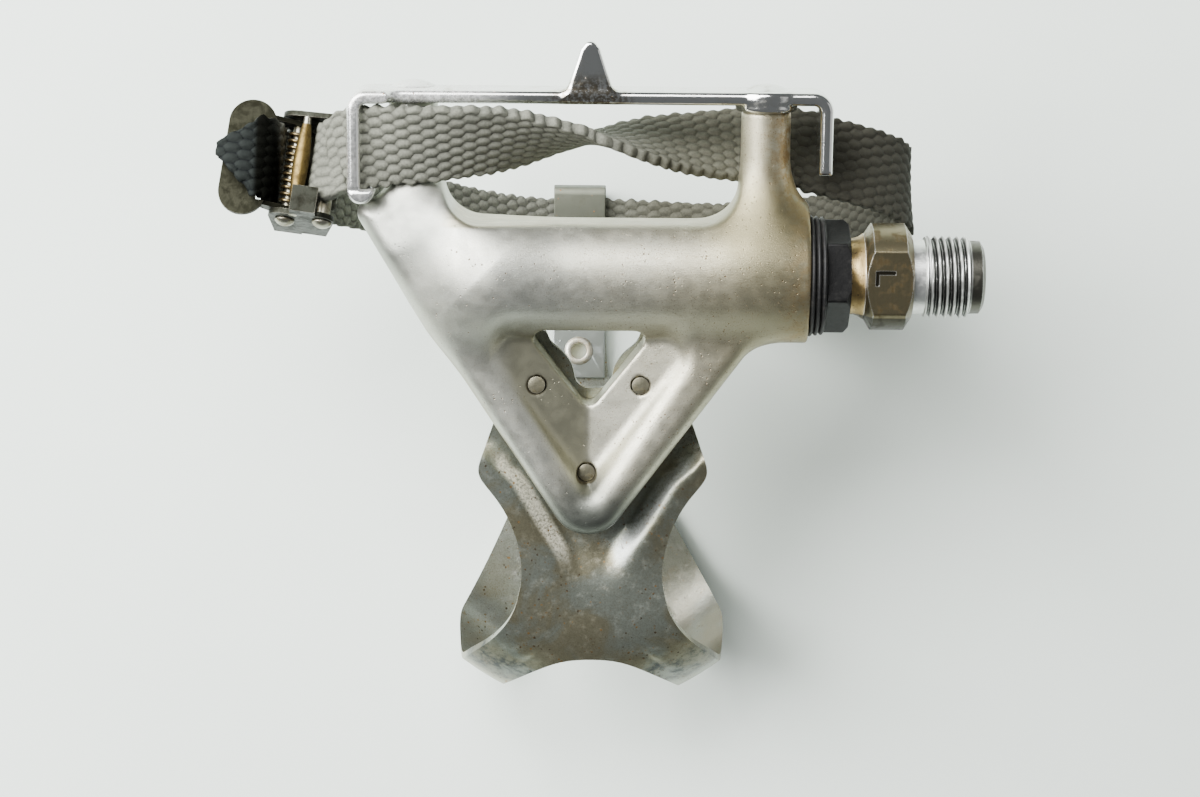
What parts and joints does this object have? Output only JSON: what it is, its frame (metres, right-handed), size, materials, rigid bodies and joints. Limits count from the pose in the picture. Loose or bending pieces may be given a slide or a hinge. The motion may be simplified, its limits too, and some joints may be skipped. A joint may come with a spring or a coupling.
{
  "type": "bicycle pedal with toe clip and strap",
  "caption": "Left-hand bicycle pedal: triangular one-piece body on a sealed spindle, chromed cage plate, sheet toe clip, woven strap with cam buckle.",
  "frame": {"origin": "centre of the spindle's shoulder face that seats on the crank, on the spindle axis", "axes": "+X along the spindle axis towards the crank, +Y to the rear of the pedal, where the cage plate is, +Z out of the pedal's underside; the toe clip hangs towards -Z as it does when the pedal swings free on its spindle"},
  "size_m": [0.1318, 0.1231, 0.0733],
  "materials": {
    "spindle_steel": "turned steel, zinc-yellow dirt on the wrench collar, bright thread",
    "bearing_steel": "ground bearing steel, oiled",
    "cast_aluminium": "satin cast aluminium with fine pits and brown stains",
    "black_resin": "black moulded resin",
    "seal_rubber": "black rubber with raised lips",
    "plate_chrome": "chromed steel, worn at the edges",
    "clip_chrome": "dulled chromed sheet with rust specks",
    "backing_steel": "yellowed zinc-plated steel",
    "strap_webbing": "grey coarse woven webbing, soiled",
    "buckle_nickel": "tarnished nickel plate",
    "roller_brass": "dull brass",
    "spring_steel": "dark spring wire, browned",
    "lever_nickel": "olive tarnished nickel plate"
  },
  "bodies": {
    "spindle_unit": {"spindle": "spindle_steel", "inner_cone": "bearing_steel", "cone_locknut": "bearing_steel"},
    "pedal": {"pedal_body": "cast_aluminium", "bearing_sleeve": "bearing_steel", "lock_bolt": "black_resin", "dust_seal": "seal_rubber", "cage_plate": "plate_chrome", "cage_screws": "plate_chrome", "toe_clip": "clip_chrome", "clip_backing_plate": "backing_steel", "clip_screws": "backing_steel", "strap_loop": "clip_chrome", "loop_rivet": "backing_steel", "toe_strap": "strap_webbing", "buckle_base": "buckle_nickel", "strap_bar": "buckle_nickel", "roller_pin": "buckle_nickel", "lever_pin": "buckle_nickel", "lever_spring": "spring_steel"},
    "outer_ball_ring": {"outer_balls": "bearing_steel"},
    "inner_ball_ring": {"inner_balls": "bearing_steel"},
    "roller": {"strap_roller": "roller_brass"},
    "lever": {"buckle_lever": "lever_nickel"}
  },
  "joints": [
    {"name": "pedal_spin", "type": "hinge", "parent": "spindle_unit", "child": "pedal", "pos_m": [-0.048, 0, 0], "axis": [1, 0, 0], "continuous": true},
    {"name": "outer_balls_roll", "type": "hinge", "parent": "spindle_unit", "child": "outer_ball_ring", "pos_m": [-0.03, 0, 0], "axis": [1, 0, 0], "continuous": true},
    {"name": "inner_balls_roll", "type": "hinge", "parent": "spindle_unit", "child": "inner_ball_ring", "pos_m": [-0.066, 0, 0], "axis": [1, 0, 0], "continuous": true},
    {"name": "roller_spin", "type": "hinge", "parent": "pedal", "child": "roller", "pos_m": [-0.10543, 0.01874, -0.0001], "axis": [0.1199, 0.8983, -0.4226], "continuous": true},
    {"name": "lever_pivot", "type": "hinge", "parent": "pedal", "child": "lever", "pos_m": [-0.1071, 0.0176, -0.003], "axis": [0.1199, 0.8983, -0.4226], "range_deg": [-25, 0], "stiffness_Nm_per_rad": 0.02, "springref_deg": 11.46}
  ],
  "couplings": [
    {"joint": "outer_balls_roll", "follows": "pedal_spin", "ratio": 0.5},
    {"joint": "inner_balls_roll", "follows": "pedal_spin", "ratio": 0.5}
  ]
}
